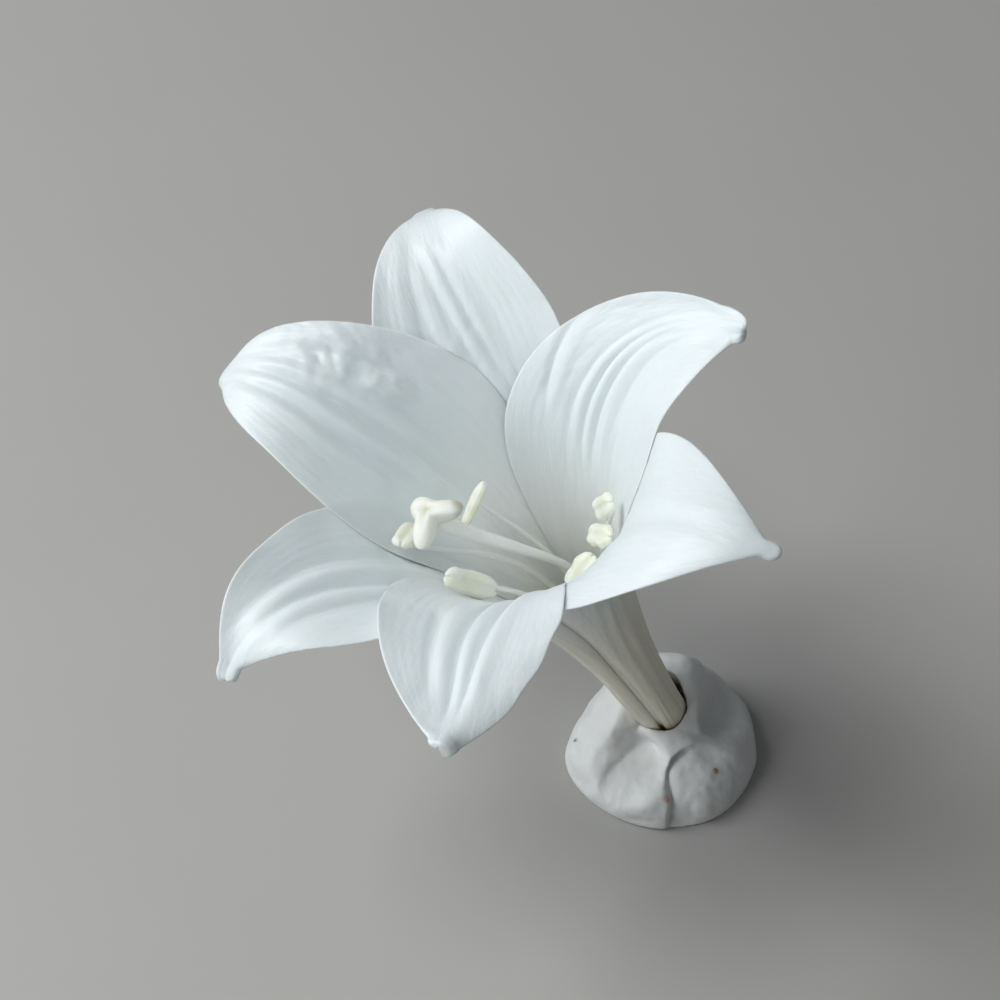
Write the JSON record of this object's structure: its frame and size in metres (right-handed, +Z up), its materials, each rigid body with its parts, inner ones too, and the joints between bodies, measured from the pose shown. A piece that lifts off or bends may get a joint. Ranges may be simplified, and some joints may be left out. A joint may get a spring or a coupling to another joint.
{
  "type": "easter lily bloom in a lump of modelling clay",
  "caption": "White trumpet-shaped lily bloom with flared petals, anthers and a long style, leaning in the hole of a pinched lump of white clay that holds it up.",
  "frame": {"origin": "middle of the clay's flat foot, on the surface it rests on", "axes": "+Z up; the bloom leans towards -X and a little towards -Y; its open mouth faces up and towards -X"},
  "size_m": [0.1087, 0.1244, 0.1444],
  "materials": {
    "petal": "soft waxy white petal, slightly see-through",
    "anther": "matte cream, no pollen",
    "style": "smooth pale yellow-green",
    "stalk": "dull green-brown plant stalk",
    "clay": "matte white unfired modelling clay"
  },
  "bodies": {
    "root": {"petal_left": "petal", "sepal_back": "petal", "petal_right": "petal", "sepal_right": "petal", "petal_front": "petal", "sepal_left": "petal", "receptacle": "stalk", "pistil": "style", "stigma": "anther", "anther_left": "anther", "filament_left": "style", "anther_back": "anther", "filament_back": "style", "anther_back_right": "anther", "filament_back_right": "style", "anther_right": "anther", "filament_right": "style", "anther_front_right": "anther", "filament_front_right": "style", "anther_front_left": "anther", "filament_front_left": "style", "clay": "clay"}
  },
  "joints": []
}
